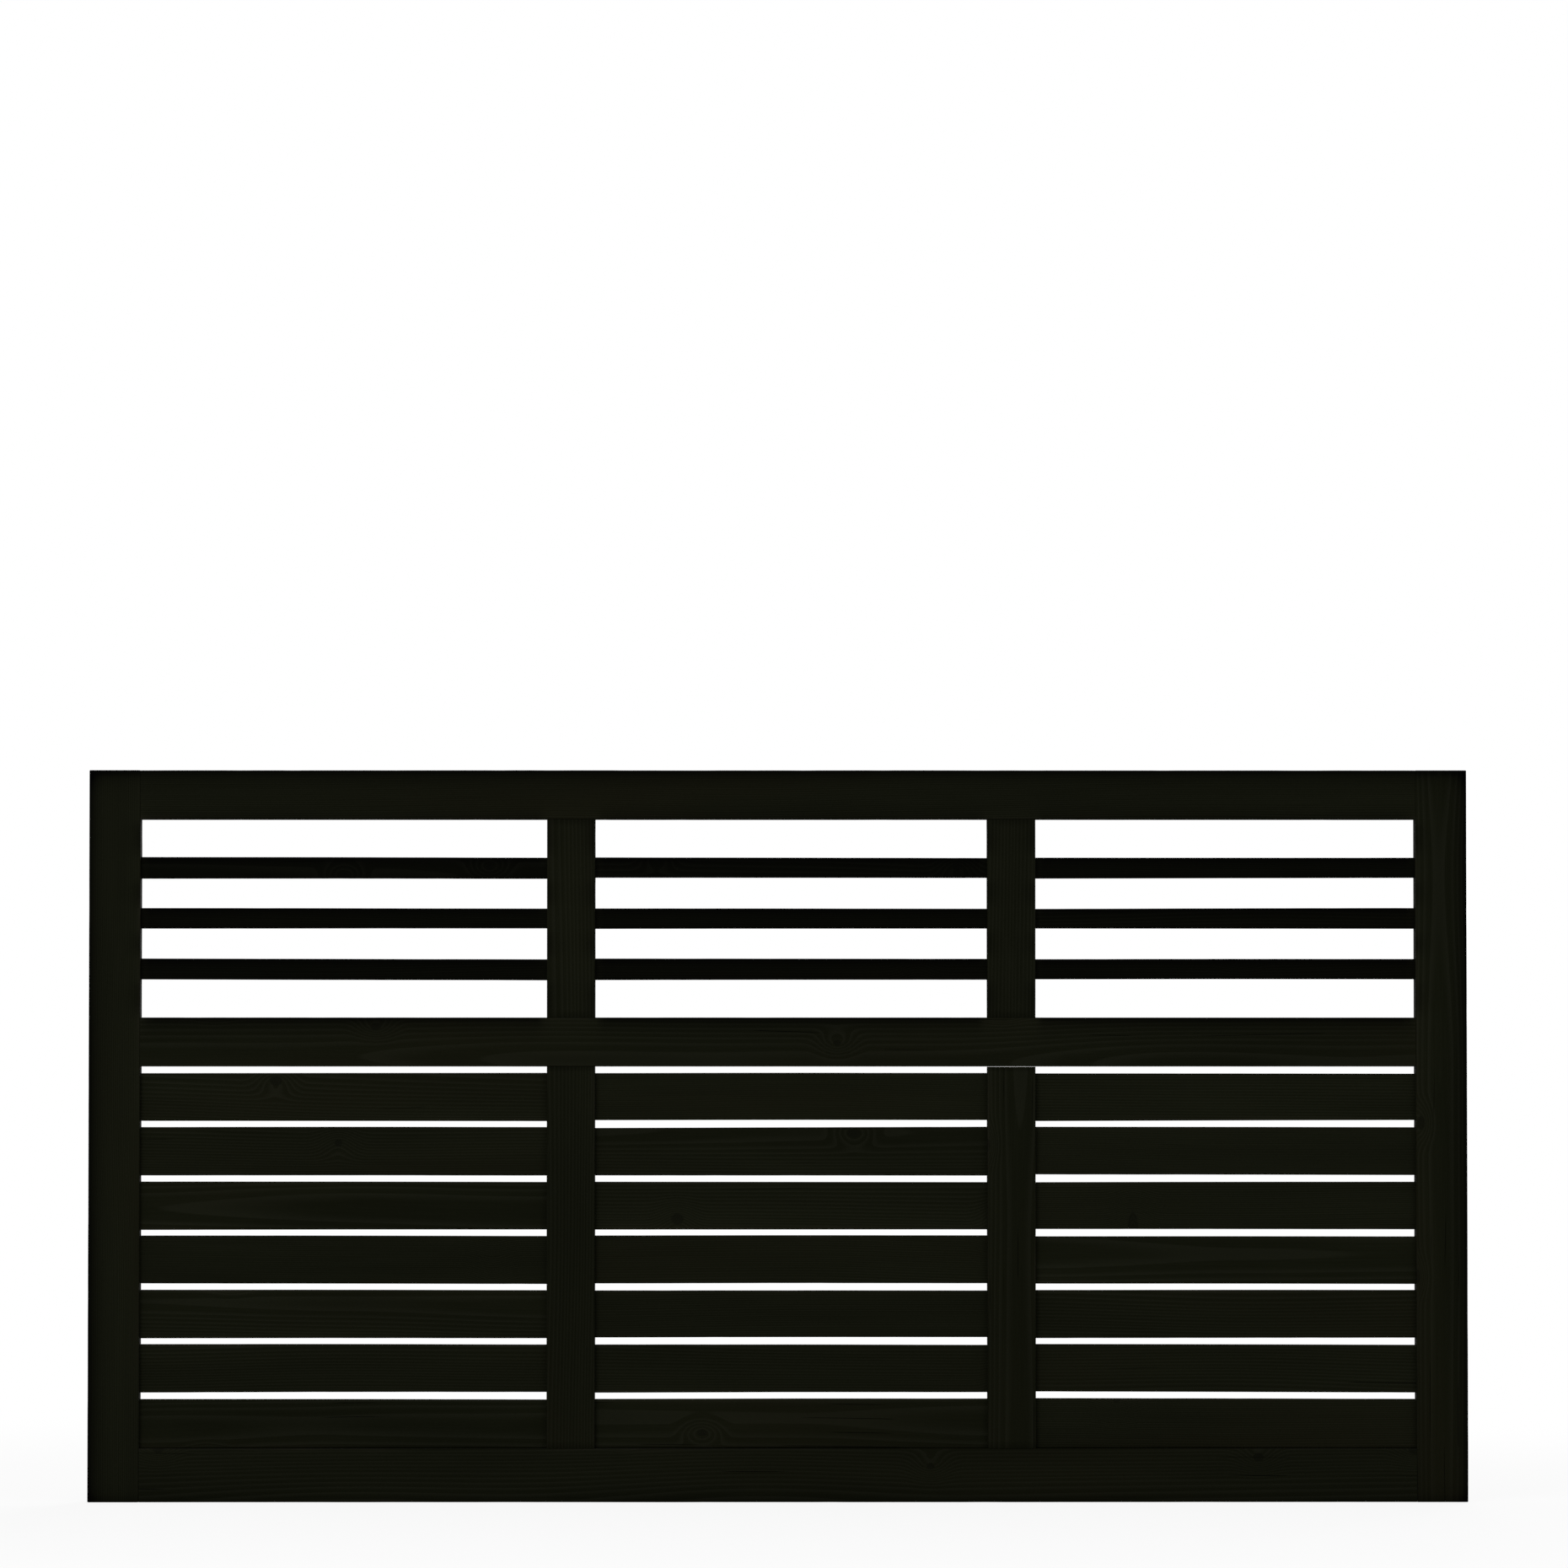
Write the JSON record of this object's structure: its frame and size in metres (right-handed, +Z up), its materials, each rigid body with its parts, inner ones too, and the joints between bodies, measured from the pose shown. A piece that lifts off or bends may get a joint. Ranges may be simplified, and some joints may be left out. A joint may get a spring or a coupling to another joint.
{
  "type": "wooden fence panel",
  "caption": "Framed wooden fence panel in bays between flush uprights, with spaced slats above a mid rail and close horizontal boards below it, finished near black.",
  "frame": {"origin": "foot of the left stile, in the middle of its outer edge, which bears on a post", "axes": "+X along the panel to the right seen from the front, +Y from the front face to the back face, +Z up"},
  "size_m": [1.83, 0.038, 0.9705],
  "materials": {
    "frame_timber": "matte",
    "slat_timber": "matte",
    "board_timber": "matte"
  },
  "bodies": {
    "root": {"left_stile": "frame_timber", "right_stile": "frame_timber", "top_rail": "frame_timber", "mid_rail": "frame_timber", "bottom_rail": "frame_timber", "upper_left_mullion": "frame_timber", "upper_right_mullion": "frame_timber", "lower_left_mullion": "frame_timber", "lower_right_mullion": "frame_timber", "left_bay_slat_1": "slat_timber", "left_bay_slat_2": "slat_timber", "left_bay_slat_3": "slat_timber", "middle_bay_slat_1": "slat_timber", "middle_bay_slat_2": "slat_timber", "middle_bay_slat_3": "slat_timber", "right_bay_slat_1": "slat_timber", "right_bay_slat_2": "slat_timber", "right_bay_slat_3": "slat_timber", "left_bay_board_1": "board_timber", "left_bay_board_2": "board_timber", "left_bay_board_3": "board_timber", "left_bay_board_4": "board_timber", "left_bay_board_5": "board_timber", "left_bay_board_6": "board_timber", "left_bay_board_7": "board_timber", "middle_bay_board_1": "board_timber", "middle_bay_board_2": "board_timber", "middle_bay_board_3": "board_timber", "middle_bay_board_4": "board_timber", "middle_bay_board_5": "board_timber", "middle_bay_board_6": "board_timber", "middle_bay_board_7": "board_timber", "right_bay_board_1": "board_timber", "right_bay_board_2": "board_timber", "right_bay_board_3": "board_timber", "right_bay_board_4": "board_timber", "right_bay_board_5": "board_timber", "right_bay_board_6": "board_timber", "right_bay_board_7": "board_timber"}
  },
  "joints": []
}
